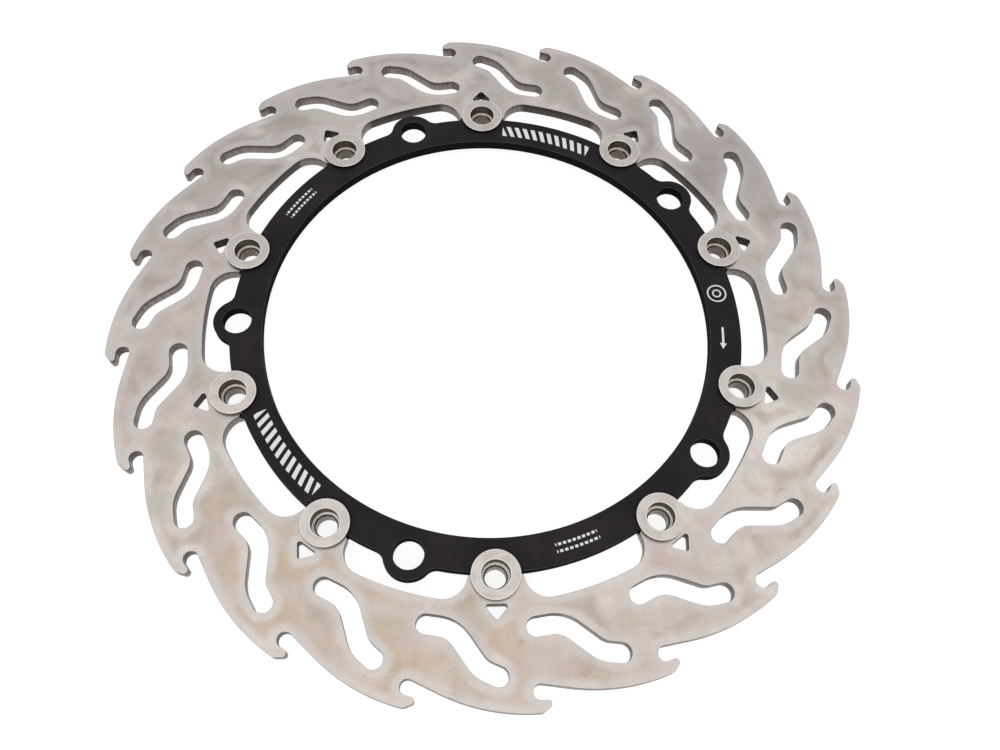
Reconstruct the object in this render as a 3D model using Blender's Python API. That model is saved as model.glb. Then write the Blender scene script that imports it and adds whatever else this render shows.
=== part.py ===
"""A floating brake disc for a motorcycle's front wheel, lying flat with its flanged side up.

A toothed steel friction ring hangs round a black aluminium carrier. Hollow drive bobbins sit half in
the ring's lugs and half in the carrier's edge. A wave washer, a flat washer and a circlip hold each
bobbin from behind. The disc's axis is Z, the bobbins' tails stand on Z = 0, and bobbin_01 is at +Y.
Angles are in degrees, clockwise from +Y as seen from above. Lengths are in metres.
"""

import math

import bmesh
import bpy

# How often each feature repeats round the disc.
TOOTH_COUNT = 20
BOBBIN_COUNT = 10
EAR_COUNT = 5

# Gaps. SEAT_GAP lies between faces that rest on each other, RUN_GAP round what turns in a notch.
SEAT_GAP = 0.0003
RUN_GAP = 0.0003
RIM_GAP = 0.0005

# Friction ring.
OUTER_DIAMETER = 0.305
RING_THICKNESS = 0.005
FRICTION_WIDTH = 0.0378
WINDOW_DEPTH = 0.0101
WINDOW_CORNER = 0.0089
LUG_CHEEK = 0.002
LUG_CORNER = 0.0008

# Teeth on the ring's edge. Places are given from the outer circle inwards.
TOOTH_BACK_RADIUS = 0.0731
TOOTH_CREST_ANGLE = -8.1
NOSE_RADIUS = 0.0034
NOSE_ANGLE = -2.0
TIP_RADIUS = 0.0013
TIP_DEPTH = 0.0029
TIP_ANGLE = -6.35
POCKET_RADIUS = 0.00266
POCKET_DEPTH = 0.007
POCKET_ANGLE = -5.6

# S-shaped slots. Each runs from an outer end round two bends to an inner end.
SLOT_WIDTH = 0.0071
SLOT_OUTER_END_DEPTH = 0.013
SLOT_OUTER_END_ANGLE = 0.0
SLOT_OUTER_BEND_DEPTH = 0.0239
SLOT_OUTER_BEND_ANGLE = -0.33
SLOT_OUTER_BEND_RADIUS = 0.01025
SLOT_INNER_BEND_DEPTH = 0.017
SLOT_INNER_BEND_ANGLE = 9.52
SLOT_INNER_BEND_RADIUS = 0.0117
SLOT_INNER_WALL = 0.00565
SLOT_INNER_END_ANGLE = 11.66

# Triangular holes, one outside each bobbin. Height and width are between the rounded corners' centres.
TRIANGLE_WALL = 0.002
TRIANGLE_HEIGHT = 0.0035
TRIANGLE_HALF_WIDTH = 0.0029
TRIANGLE_CORNER = 0.0009

# Carrier. Its bolt holes lie a setback inside its edge.
CARRIER_BAND_WIDTH = 0.01285
NOTCH_CORNER = 0.0004
BOLT_HOLE_DIAMETER = 0.0115
EAR_SETBACK = 0.0026
EAR_WALL = 0.00375
EAR_FILLET = 0.0047
EAR_FIRST_ANGLE = 54.0

# Drive bobbins. Their centres lie a standout outside the carrier's edge.
BOBBIN_STANDOUT = 0.00085
BODY_DIAMETER = 0.0156
FLANGE_LIP = 0.0013
FLANGE_THICKNESS = 0.0015
FLANGE_CHAMFER = 0.00025
BORE_DIAMETER = 0.008
COUNTERBORE_DIAMETER = 0.0107
COUNTERBORE_DEPTH = 0.0049
LEDGE_CHAMFER = 0.0005
GROOVE_DEPTH = 0.001
TAIL_LENGTH = 0.0006

# Washers and circlip behind each bobbin. The washers are as wide as the flange.
FLAT_WASHER_THICKNESS = 0.0006
WAVE_SHEET = 0.0003
WAVE_HEIGHT = 0.0008
WAVE_COUNT = 3
CLIP_THICKNESS = 0.001
CLIP_WIDTH = 0.0017
CLIP_MOUTH_ANGLE = 62.0
CLIP_EYE_RADIUS = 0.0013
CLIP_EYE_HOLE_RADIUS = 0.0006
CLIP_HEEL_RADIUS = 0.0003
CLIP_HEEL_ANGLE = 50.0

# How finely round stretches are cut into straight ones.
ARC_TURN = math.radians(30)
ARC_LENGTH = 0.013
TURNED_SEGMENTS = 16
RING_CIRCLE_SEGMENTS = 100
HOLE_SEGMENTS = 20
EYE_SEGMENTS = 6

# Heights, from the tails up.
CLIP_BOTTOM = TAIL_LENGTH + SEAT_GAP
CLIP_TOP = CLIP_BOTTOM + CLIP_THICKNESS
GROOVE_TOP = CLIP_TOP + SEAT_GAP
FLAT_WASHER_TOP = GROOVE_TOP + FLAT_WASHER_THICKNESS
WAVE_BOTTOM = FLAT_WASHER_TOP + SEAT_GAP
WAVE_TOP = WAVE_BOTTOM + WAVE_HEIGHT
PLATE_BOTTOM = WAVE_TOP + SEAT_GAP
PLATE_TOP = PLATE_BOTTOM + RING_THICKNESS
FLANGE_BOTTOM = PLATE_TOP + SEAT_GAP
FLANGE_TOP = FLANGE_BOTTOM + FLANGE_THICKNESS

# Sizes that follow from those above, from the disc's edge inwards.
OUTER_RADIUS = OUTER_DIAMETER / 2
WINDOW_RADIUS = OUTER_RADIUS - FRICTION_WIDTH
LUG_END_RADIUS = WINDOW_RADIUS - WINDOW_DEPTH
CARRIER_OUTER_RADIUS = LUG_END_RADIUS - RIM_GAP
CARRIER_THICKNESS = RING_THICKNESS
BOBBIN_CIRCLE_DIAMETER = 2 * (CARRIER_OUTER_RADIUS + BOBBIN_STANDOUT)
BOBBIN_CIRCLE_RADIUS = BOBBIN_CIRCLE_DIAMETER / 2
BOLT_CIRCLE_DIAMETER = 2 * (CARRIER_OUTER_RADIUS - EAR_SETBACK)
EAR_RADIUS = BOLT_HOLE_DIAMETER / 2 + EAR_WALL
NOTCH_RADIUS = BODY_DIAMETER / 2 + RUN_GAP
LUG_HALF_WIDTH = NOTCH_RADIUS + LUG_CHEEK
TRIANGLE_RISE = NOTCH_RADIUS + TRIANGLE_WALL + TRIANGLE_CORNER
SLOT_INNER_END_DEPTH = FRICTION_WIDTH - SLOT_INNER_WALL - SLOT_WIDTH / 2
FLANGE_DIAMETER = BODY_DIAMETER + 2 * FLANGE_LIP
WASHER_DIAMETER = FLANGE_DIAMETER
WASHER_INNER_RADIUS = BODY_DIAMETER / 2 + RUN_GAP
GROOVE_RADIUS = BODY_DIAMETER / 2 - GROOVE_DEPTH
CLIP_INNER_RADIUS = GROOVE_RADIUS + SEAT_GAP


def clear_scene():
    for thing in list(bpy.data.objects):
        bpy.data.objects.remove(thing)


def finish(name, color, roughness, metallic):
    """A Principled material of one colour."""
    material = bpy.data.materials.new(name)
    material.use_nodes = True
    shader = material.node_tree.nodes["Principled BSDF"]
    shader.inputs["Base Color"].default_value = (*color, 1.0)
    shader.inputs["Roughness"].default_value = roughness
    shader.inputs["Metallic"].default_value = metallic
    material.diffuse_color = (*color, 1.0)
    return material


def polar(radius, angle):
    """The point at a radius and a clockwise angle from +Y."""
    turn = math.radians(angle)
    return radius * math.sin(turn), radius * math.cos(turn)


def wrap(circles):
    """A closed outline that runs round circles as a belt runs round pulleys, counter-clockwise.

    A circle is (centre, radius). The radius is negative where the belt passes with the circle on its
    right, which makes a hollow stretch. Between two circles the belt is their common tangent.
    """
    spans = []
    for (centre, radius), (ahead, ahead_radius) in zip(circles, circles[1:] + circles[:1]):
        across = (ahead[0] - centre[0], ahead[1] - centre[1])
        rise = ahead_radius - radius
        run = math.sqrt(max(across[0] ** 2 + across[1] ** 2 - rise**2, 0.0))
        spans.append(math.atan2(across[1], across[0]) - math.atan2(rise, run))
    outline = []
    for index, (centre, radius) in enumerate(circles):
        start = spans[index - 1]
        turn = (spans[index] - start) % math.tau
        if radius < 0:
            turn -= math.tau
        if abs(turn) > math.tau - 0.1:
            turn = 0.0
        steps = math.ceil(max(abs(turn) / ARC_TURN, abs(turn * radius) / ARC_LENGTH, 1))
        for step in range(steps + 1):
            heading = start + turn * step / steps
            x = centre[0] + radius * math.sin(heading)
            y = centre[1] - radius * math.cos(heading)
            if not outline or math.dist(outline[-1], (x, y)) > 1e-5:
                outline.append((x, y))
    if math.dist(outline[0], outline[-1]) < 1e-5:
        outline.pop()
    return outline


def circle(centre, radius, segments):
    """A round outline."""
    return [
        (centre[0] + radius * math.sin(math.tau * i / segments),
         centre[1] + radius * math.cos(math.tau * i / segments))
        for i in range(segments)
    ]


def touching(first, first_distance, second, second_distance, side):
    """The point at given distances from two points, on the left (1) or right (-1) of the line between."""
    dx, dy = second[0] - first[0], second[1] - first[1]
    apart = math.hypot(dx, dy)
    along = (first_distance**2 - second_distance**2 + apart**2) / (2 * apart)
    off = side * math.sqrt(first_distance**2 - along**2)
    return (
        first[0] + (along * dx - off * dy) / apart,
        first[1] + (along * dy + off * dx) / apart,
    )


def tooth_circles(angle):
    """One tooth counter-clockwise: its long back, its nose and tip, and the pocket under the tip."""
    crest = angle + TOOTH_CREST_ANGLE
    back = polar(OUTER_RADIUS - TOOTH_BACK_RADIUS, crest)
    reach = polar(TOOTH_BACK_RADIUS - NOSE_RADIUS, angle + NOSE_ANGLE)
    nose = (back[0] + reach[0], back[1] + reach[1])
    tip = polar(OUTER_RADIUS - TIP_DEPTH, angle + TIP_ANGLE)
    pocket = polar(OUTER_RADIUS - POCKET_DEPTH, angle + POCKET_ANGLE)
    return [(back, TOOTH_BACK_RADIUS), (nose, NOSE_RADIUS), (tip, TIP_RADIUS), (pocket, -POCKET_RADIUS)]


def ring_edge():
    """The ring's toothed outer edge."""
    circles = []
    for index in range(TOOTH_COUNT):
        circles += tooth_circles(-index * 360 / TOOTH_COUNT)
    return wrap(circles)


def s_slot(angle):
    """One slot: both of its sides lie half a width from a line that bends right, then left."""
    half = SLOT_WIDTH / 2
    outer_end = polar(OUTER_RADIUS - SLOT_OUTER_END_DEPTH, angle + SLOT_OUTER_END_ANGLE)
    outer_bend = polar(OUTER_RADIUS - SLOT_OUTER_BEND_DEPTH, angle + SLOT_OUTER_BEND_ANGLE)
    inner_bend = polar(OUTER_RADIUS - SLOT_INNER_BEND_DEPTH, angle + SLOT_INNER_BEND_ANGLE)
    inner_end = polar(OUTER_RADIUS - SLOT_INNER_END_DEPTH, angle + SLOT_INNER_END_ANGLE)
    return wrap([
        (outer_end, half),
        (outer_bend, half - SLOT_OUTER_BEND_RADIUS),
        (inner_bend, half + SLOT_INNER_BEND_RADIUS),
        (inner_end, half),
        (inner_bend, half - SLOT_INNER_BEND_RADIUS),
        (outer_bend, half + SLOT_OUTER_BEND_RADIUS),
    ])


def beside(distance, aside, angle):
    """A point so far out along the ray at an angle, and so far to its clockwise side."""
    return polar(math.hypot(distance, aside), angle + math.degrees(math.atan2(aside, distance)))


def triangle(angle):
    """One three-cornered hole, its point outwards."""
    base = BOBBIN_CIRCLE_RADIUS + TRIANGLE_RISE
    corners = [
        beside(base + TRIANGLE_HEIGHT, 0.0, angle),
        beside(base, -TRIANGLE_HALF_WIDTH, angle),
        beside(base, TRIANGLE_HALF_WIDTH, angle),
    ]
    return wrap([(corner, TRIANGLE_CORNER) for corner in corners])


def ring_inside():
    """The ring's inner edge: a wide window, then a lug with a half-round notch for its bobbin."""
    centre = (0.0, 0.0)
    corner_circle = WINDOW_RADIUS - WINDOW_CORNER
    corner_angle = math.degrees(math.asin((LUG_HALF_WIDTH + WINDOW_CORNER) / corner_circle))
    circles = []
    for index in range(BOBBIN_COUNT):
        angle = -index * 360 / BOBBIN_COUNT
        notch = polar(BOBBIN_CIRCLE_RADIUS, angle)
        flanks = []
        for side in (1, -1):
            window_corner = polar(corner_circle, angle + side * corner_angle)
            lug_corner = beside(LUG_END_RADIUS + LUG_CORNER, side * (LUG_HALF_WIDTH - LUG_CORNER), angle)
            notch_corner = touching(
                notch, NOTCH_RADIUS + NOTCH_CORNER, centre, LUG_END_RADIUS + NOTCH_CORNER, side
            )
            flanks.append([
                (window_corner, WINDOW_CORNER),
                (lug_corner, -LUG_CORNER),
                (notch_corner, -NOTCH_CORNER),
            ])
        circles += [(centre, WINDOW_RADIUS), *flanks[0], (notch, NOTCH_RADIUS), *reversed(flanks[1])]
    return wrap(circles)


def carrier_edge():
    """The carrier's outer edge: half-round notches for the bobbins, and ears for the bolts."""
    stations = [("notch", index * 360 / BOBBIN_COUNT) for index in range(BOBBIN_COUNT)]
    stations += [("ear", EAR_FIRST_ANGLE + index * 360 / EAR_COUNT) for index in range(EAR_COUNT)]
    centre = (0.0, 0.0)
    circles = []
    for kind, angle in sorted(stations, key=lambda station: -station[1]):
        if kind == "notch":
            middle, radius, corner = polar(BOBBIN_CIRCLE_RADIUS, angle), -NOTCH_RADIUS, NOTCH_CORNER
            reach = NOTCH_RADIUS + corner
            rim = CARRIER_OUTER_RADIUS - corner
        else:
            middle, radius, corner = polar(BOLT_CIRCLE_DIAMETER / 2, angle), EAR_RADIUS, -EAR_FILLET
            reach = EAR_RADIUS + EAR_FILLET
            rim = CARRIER_OUTER_RADIUS + EAR_FILLET
        before = touching(middle, reach, centre, rim, 1)
        after = touching(middle, reach, centre, rim, -1)
        circles += [(centre, CARRIER_OUTER_RADIUS), (before, corner), (middle, radius), (after, corner)]
    return wrap(circles)


def link(name, mesh, material):
    """Puts a finished mesh into the scene as a named object."""
    mesh.materials.append(material)
    thing = bpy.data.objects.new(name, mesh)
    bpy.context.scene.collection.objects.link(thing)
    return thing


def plate(name, outlines, bottom, top, material):
    """A flat plate with holes. The first outline is its edge, and the others are holes through it."""
    shape = bmesh.new()
    for outline in outlines:
        corners = [shape.verts.new((x, y, bottom)) for x, y in outline]
        for corner, following in zip(corners, corners[1:] + corners[:1]):
            shape.edges.new((corner, following))
    edges = shape.edges[:]
    bmesh.ops.triangle_fill(shape, use_beauty=True, use_dissolve=False, edges=edges, normal=(0, 0, -1))
    grown = bmesh.ops.extrude_face_region(shape, geom=shape.faces[:], use_keep_orig=True)
    raised = [part for part in grown["geom"] if isinstance(part, bmesh.types.BMVert)]
    bmesh.ops.translate(shape, verts=raised, vec=(0, 0, top - bottom))
    bmesh.ops.recalc_face_normals(shape, faces=shape.faces[:])
    mesh = bpy.data.meshes.new(name)
    shape.to_mesh(mesh)
    shape.free()
    return link(name, mesh, material)


def turned(name, profile, material, lift=lambda turn: 0.0):
    """A ring turned round Z from a closed profile of (radius, height). lift raises it along the way."""
    shape = bmesh.new()
    rows = []
    for segment in range(TURNED_SEGMENTS):
        turn = math.tau * segment / TURNED_SEGMENTS
        rows.append([
            shape.verts.new((radius * math.cos(turn), radius * math.sin(turn), height + lift(turn)))
            for radius, height in profile
        ])
    for row, following in zip(rows, rows[1:] + rows[:1]):
        for step in range(len(profile)):
            shape.faces.new((row[step - 1], following[step - 1], following[step], row[step]))
    bmesh.ops.recalc_face_normals(shape, faces=shape.faces[:])
    mesh = bpy.data.meshes.new(name)
    shape.to_mesh(mesh)
    shape.free()
    mesh.shade_smooth()
    mesh.set_sharp_from_angle(angle=math.radians(35))
    return link(name, mesh, material)


def bobbin(name, material):
    """A hollow drive bobbin: a flange, a counterbored body and a groove for its circlip."""
    body = BODY_DIAMETER / 2
    flange = FLANGE_DIAMETER / 2
    bore = BORE_DIAMETER / 2
    counterbore = COUNTERBORE_DIAMETER / 2
    ledge = FLANGE_TOP - COUNTERBORE_DEPTH
    return turned(name, [
        (bore, 0.0),
        (body, 0.0),
        (body, TAIL_LENGTH),
        (GROOVE_RADIUS, TAIL_LENGTH),
        (GROOVE_RADIUS, GROOVE_TOP),
        (body, GROOVE_TOP),
        (body, FLANGE_BOTTOM),
        (flange, FLANGE_BOTTOM),
        (flange, FLANGE_TOP - FLANGE_CHAMFER),
        (flange - FLANGE_CHAMFER, FLANGE_TOP),
        (counterbore, FLANGE_TOP),
        (counterbore, ledge),
        (bore + LEDGE_CHAMFER, ledge),
        (bore, ledge - LEDGE_CHAMFER),
    ], material)


def wave_washer(name, material):
    """A washer of thin spring sheet with waves round it."""
    inner = WASHER_INNER_RADIUS
    outer = WASHER_DIAMETER / 2
    swing = (WAVE_HEIGHT - WAVE_SHEET) / 2
    middle = WAVE_BOTTOM + swing
    return turned(
        name,
        [(inner, middle), (outer, middle), (outer, middle + WAVE_SHEET), (inner, middle + WAVE_SHEET)],
        material,
        lift=lambda turn: swing * math.cos(WAVE_COUNT * turn),
    )


def flat_washer(name, material):
    """A plain washer between the wave washer and the circlip."""
    inner = WASHER_INNER_RADIUS
    outer = WASHER_DIAMETER / 2
    return turned(
        name,
        [(inner, GROOVE_TOP), (outer, GROOVE_TOP), (outer, FLAT_WASHER_TOP), (inner, FLAT_WASHER_TOP)],
        material,
    )


def circlip(name, material):
    """An open ring that springs into the bobbin's groove, with a drilled eye at each end."""
    inner = CLIP_INNER_RADIUS
    outer = inner + CLIP_WIDTH
    eyes = [polar(outer, side * CLIP_MOUTH_ANGLE / 2) for side in (1, -1)]
    heels = [polar(inner + CLIP_HEEL_RADIUS, side * CLIP_HEEL_ANGLE / 2) for side in (1, -1)]
    edge = wrap([
        ((0.0, 0.0), outer),
        (eyes[0], CLIP_EYE_RADIUS),
        (heels[0], CLIP_HEEL_RADIUS),
        ((0.0, 0.0), -inner),
        (heels[1], CLIP_HEEL_RADIUS),
        (eyes[1], CLIP_EYE_RADIUS),
    ])
    holes = [circle(eye, CLIP_EYE_HOLE_RADIUS, EYE_SEGMENTS) for eye in eyes]
    return plate(name, [edge, *holes], CLIP_BOTTOM, CLIP_TOP, material)


def friction_ring():
    """The steel ring that the pads grip."""
    outlines = [ring_edge(), ring_inside()]
    outlines += [s_slot(index * 360 / TOOTH_COUNT) for index in range(TOOTH_COUNT)]
    outlines += [triangle(index * 360 / BOBBIN_COUNT) for index in range(BOBBIN_COUNT)]
    steel = finish("ring_steel", (0.58, 0.54, 0.50), 0.38, 1.0)
    return plate("friction_ring", outlines, PLATE_TOP - RING_THICKNESS, PLATE_TOP, steel)


def carrier():
    """The aluminium ring that bolts to the wheel hub."""
    outlines = [carrier_edge()]
    outlines.append(circle((0.0, 0.0), CARRIER_OUTER_RADIUS - CARRIER_BAND_WIDTH, RING_CIRCLE_SEGMENTS))
    for index in range(EAR_COUNT):
        centre = polar(BOLT_CIRCLE_DIAMETER / 2, EAR_FIRST_ANGLE + index * 360 / EAR_COUNT)
        outlines.append(circle(centre, BOLT_HOLE_DIAMETER / 2, HOLE_SEGMENTS))
    black = finish("carrier_black", (0.02, 0.02, 0.022), 0.42, 0.6)
    return plate("carrier", outlines, PLATE_TOP - CARRIER_THICKNESS, PLATE_TOP, black)


def drive_sets():
    """A bobbin with its washers and circlip at each notch, parented to an empty on its axis."""
    makers = [
        (bobbin, finish("bobbin_steel", (0.62, 0.60, 0.56), 0.3, 1.0)),
        (wave_washer, finish("wave_washer_steel", (0.40, 0.39, 0.38), 0.35, 1.0)),
        (flat_washer, finish("flat_washer_steel", (0.55, 0.54, 0.52), 0.4, 1.0)),
        (circlip, finish("circlip_steel", (0.12, 0.11, 0.10), 0.4, 1.0)),
    ]
    for index in range(BOBBIN_COUNT):
        angle = index * 360 / BOBBIN_COUNT
        axis = bpy.data.objects.new(f"bobbin_axis_{index + 1:02d}", None)
        axis.location = (*polar(BOBBIN_CIRCLE_RADIUS, angle), 0.0)
        axis.rotation_euler = (0.0, 0.0, -math.radians(angle))
        bpy.context.scene.collection.objects.link(axis)
        for maker, material in makers:
            maker(f"{maker.__name__}_{index + 1:02d}", material).parent = axis


def main():
    clear_scene()
    friction_ring()
    carrier()
    drive_sets()


main()
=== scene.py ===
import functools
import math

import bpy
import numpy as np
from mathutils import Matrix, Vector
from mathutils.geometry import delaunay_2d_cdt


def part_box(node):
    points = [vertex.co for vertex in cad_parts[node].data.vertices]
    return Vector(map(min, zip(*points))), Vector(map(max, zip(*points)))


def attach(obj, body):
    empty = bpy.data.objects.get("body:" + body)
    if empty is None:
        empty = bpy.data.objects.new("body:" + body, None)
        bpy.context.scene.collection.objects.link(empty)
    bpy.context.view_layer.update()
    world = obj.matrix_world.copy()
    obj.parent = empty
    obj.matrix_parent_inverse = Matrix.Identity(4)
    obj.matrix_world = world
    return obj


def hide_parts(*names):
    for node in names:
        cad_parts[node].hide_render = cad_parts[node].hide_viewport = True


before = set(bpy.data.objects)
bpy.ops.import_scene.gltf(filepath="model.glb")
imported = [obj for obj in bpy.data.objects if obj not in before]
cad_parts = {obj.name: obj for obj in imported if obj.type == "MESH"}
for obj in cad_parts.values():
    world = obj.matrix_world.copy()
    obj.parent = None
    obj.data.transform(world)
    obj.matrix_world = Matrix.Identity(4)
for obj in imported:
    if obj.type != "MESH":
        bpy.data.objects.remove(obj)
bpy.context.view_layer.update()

# The looks of a floating motorcycle brake disc: ground steel, black anodised aluminium, turned bobbins.
#
# Plates are outlines of arcs with an edge profile carried along them. Bobbins and washers are profiles
# turned round their own axes. Lengths are in metres, but in millimetres inside the finishes. Angles are
# in degrees, clockwise from +Y.

MM = 0.001

# Places and heights that come from the solids.
CARRIER_LOW, CARRIER_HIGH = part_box("carrier")
RING_LOW, RING_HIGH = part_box("friction_ring")
BOBBIN_LOW, BOBBIN_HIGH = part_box("bobbin_01")
WAVE_LOW, WAVE_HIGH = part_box("wave_washer_01")
FLAT_LOW, FLAT_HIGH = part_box("flat_washer_01")
CLIP_LOW, CLIP_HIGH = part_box("circlip_01")
BOBBIN_CIRCLE = (BOBBIN_LOW.y + BOBBIN_HIGH.y) / 2
FLANGE_RADIUS = (BOBBIN_HIGH.x - BOBBIN_LOW.x) / 2
WASHER_RADIUS = (FLAT_HIGH.x - FLAT_LOW.x) / 2

# Counts.
TOOTH_COUNT = 20
BOBBIN_COUNT = 10
EAR_COUNT = 5

# Friction ring.
OUTER_RADIUS = 152.5 * MM
LUG_END_RADIUS = 104.6 * MM
WINDOW_RADIUS = 114.7 * MM
WINDOW_CORNER = 8.9 * MM
LUG_HALF_WIDTH = 10.1 * MM
LUG_CORNER = 0.8 * MM
NOTCH_RADIUS = 8.1 * MM
NOTCH_CORNER = 0.4 * MM

# Teeth, from the outer circle inwards.
TOOTH_BACK_RADIUS = 73.1 * MM
TOOTH_CREST_ANGLE = -8.1
NOSE_RADIUS = 3.4 * MM
NOSE_ANGLE = -2.0
TIP_RADIUS = 1.3 * MM
TIP_DEPTH = 2.9 * MM
TIP_ANGLE = -6.35
POCKET_RADIUS = 2.66 * MM
POCKET_DEPTH = 7.0 * MM
POCKET_ANGLE = -5.6

# S-shaped slots: an outer end, two bends and an inner end, as (depth from the outer circle, angle).
SLOT_WIDTH = 7.1 * MM
SLOT_OUTER_END = (13.0 * MM, 0.0)
SLOT_OUTER_BEND = (23.9 * MM, -0.33)
SLOT_OUTER_BEND_RADIUS = 10.25 * MM
SLOT_INNER_BEND = (17.0 * MM, 9.52)
SLOT_INNER_BEND_RADIUS = 11.7 * MM
SLOT_INNER_END = (28.6 * MM, 11.66)

# Triangular holes, by the centres of their rounded corners.
TRIANGLE_RISE = 11.0 * MM
TRIANGLE_HEIGHT = 3.5 * MM
TRIANGLE_HALF_WIDTH = 2.9 * MM
TRIANGLE_CORNER = 0.9 * MM

# Carrier.
CARRIER_RADIUS = 104.1 * MM
CARRIER_BAND = 12.85 * MM
BOLT_CIRCLE_RADIUS = 101.5 * MM
BOLT_HOLE_RADIUS = 5.75 * MM
EAR_RADIUS = 9.5 * MM
EAR_FILLET = 4.7 * MM
EAR_FIRST_ANGLE = 54.0

# Bobbins and what holds them from behind.
BODY_RADIUS = 7.8 * MM
BORE_RADIUS = 4.0 * MM
COUNTERBORE_RADIUS = 5.35 * MM
COUNTERBORE_DEPTH = 4.9 * MM
LEDGE_INNER = 4.5 * MM
LEDGE_BEVEL = 1.2
GROOVE_RADIUS = 6.8 * MM
GROOVE_PLAY = 0.3 * MM
FLANGE_THICKNESS = 1.5 * MM
WASHER_INNER = 8.1 * MM
WASHER_CORNER = 0.12 * MM
WAVE_SHEET = 0.3 * MM
WAVE_CORNER = 0.08 * MM
WAVE_COUNT = 3
CLIP_INNER = 7.1 * MM
CLIP_WIDTH = 1.7 * MM
CLIP_MOUTH_ANGLE = 62.0
CLIP_HEEL_ANGLE = 50.0
CLIP_HEEL_RADIUS = 0.3 * MM
CLIP_EYE_RADIUS = 1.3 * MM
CLIP_EYE_HOLE = 0.6 * MM

# Marks on the carrier, in millimetres: places as (angle, distance from the axis), half sizes and
# pitches as (along the rim, across it).
BAR_PLACES = ((17.2, 97.7), (234.0, 97.7))
BAR_HALF = (20.0, 2.7)
BAR_PITCH = 3.6
BAR_SLANT = 0.45
RINGS_PLACE = (83.5, 96.9)
RINGS_PITCH = 2.2
ARROW_PLACE = (96.0, 96.6)
ARROW_HALF_SHAFT = 0.45
ARROW_POINT = 5.0
ARROW_TAPER = 0.54
DASH_PLACES = ((162.0, 97.7), (306.0, 97.7))
DASH_HALF = (8.3, 2.6)
DASH_PITCH = (1.9, 2.6)

# How far sharp edges are broken, and how finely curves are cut.
RING_BREAK = 0.12 * MM
CARRIER_BREAK = 0.2 * MM
CLIP_BREAK = 0.12 * MM
BREAK_STEPS = 3
SUPPORT = 0.12 * MM
CUT_COUNT = 5
CUT_DEPTH = 0.1 * MM
CUT_START = 0.55 * MM
CUT_MARGIN = 0.9 * MM
POCKET_REACH = 2.5 * MM
ARC_TURN = math.radians(9)
STRAIGHT_STEP = 1.3 * MM
SHORTEST_STEP = 0.02 * MM
FACE_GRID = 1.25 * MM
GRID_CLEARANCE = 0.55
TURNED_SEGMENTS = 96
POINTS_AT_ONCE = 1500
NO_TRIANGLES = np.zeros((0, 3), int)


# ---- Outlines -------------------------------------------------------------------------------------

def polar(radius, angle):
    """The point at a radius and a clockwise angle from +Y."""
    turn = math.radians(angle)
    return radius * math.sin(turn), radius * math.cos(turn)


def beside(distance, aside, angle):
    """A point so far out along the ray at an angle, and so far to its clockwise side."""
    return polar(math.hypot(distance, aside), angle + math.degrees(math.atan2(aside, distance)))


def touching(first, first_distance, second, second_distance, side):
    """The point at given distances from two points, on the left (1) or right (-1) of the line between."""
    dx, dy = second[0] - first[0], second[1] - first[1]
    apart = math.hypot(dx, dy)
    along = (first_distance**2 - second_distance**2 + apart**2) / (2 * apart)
    off = side * math.sqrt(first_distance**2 - along**2)
    return (
        first[0] + (along * dx - off * dy) / apart,
        first[1] + (along * dy + off * dx) / apart,
    )


def wrap(circles, step=STRAIGHT_STEP):
    """A closed outline round circles (centre, radius) as a belt round pulleys, counter-clockwise.

    A negative radius is a pulley on the belt's right, which makes a hollow stretch. The belt leaves a
    circle at centre - radius * n, where n is the left normal of its heading, and runs to the next
    circle along their common tangent. Straight stretches are cut into steps. A turn within 0.1 of a
    whole one is rounding error, and counts as none.
    """
    centres = np.array([centre for centre, _ in circles])
    radii = np.array([radius for _, radius in circles])
    across = np.roll(centres, -1, axis=0) - centres
    rise = np.roll(radii, -1) - radii
    run = np.sqrt(np.maximum((across**2).sum(1) - rise**2, 0.0))
    heading = np.arctan2(across[:, 1], across[:, 0]) - np.arctan2(rise, run)
    turn = np.mod(heading - np.roll(heading, 1), math.tau)
    turn = np.where(radii < 0, turn - math.tau, turn)
    turn = np.where(np.abs(turn) > math.tau - 0.1, 0.0, turn)
    parts = []
    for index, (centre, radius) in enumerate(zip(centres, radii)):
        cuts = math.ceil(max(abs(turn[index]) / ARC_TURN, abs(turn[index] * radius) / step, 1))
        along = heading[index - 1] + turn[index] * np.linspace(0, 1, cuts + 1)
        parts.append(centre + radius * np.stack([np.sin(along), -np.cos(along)], 1))
        cuts = math.ceil(run[index] / step)
        share = np.arange(1, cuts)[:, None] / max(cuts, 1)
        ray = np.array([math.cos(heading[index]), math.sin(heading[index])])
        parts.append(parts[-1][-1] + share * run[index] * ray)
    outline = np.concatenate(parts)
    gap = np.linalg.norm(outline - np.roll(outline, 1, axis=0), axis=1)
    return outline[gap > SHORTEST_STEP]


def circle(centre, radius):
    """A round outline, clockwise, as a hole's is."""
    segments = math.ceil(math.tau / ARC_TURN) + math.ceil(math.tau * radius / (4 * STRAIGHT_STEP))
    turn = math.tau * np.arange(segments) / segments
    return np.array(centre) + radius * np.stack([np.sin(turn), np.cos(turn)], 1)


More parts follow.
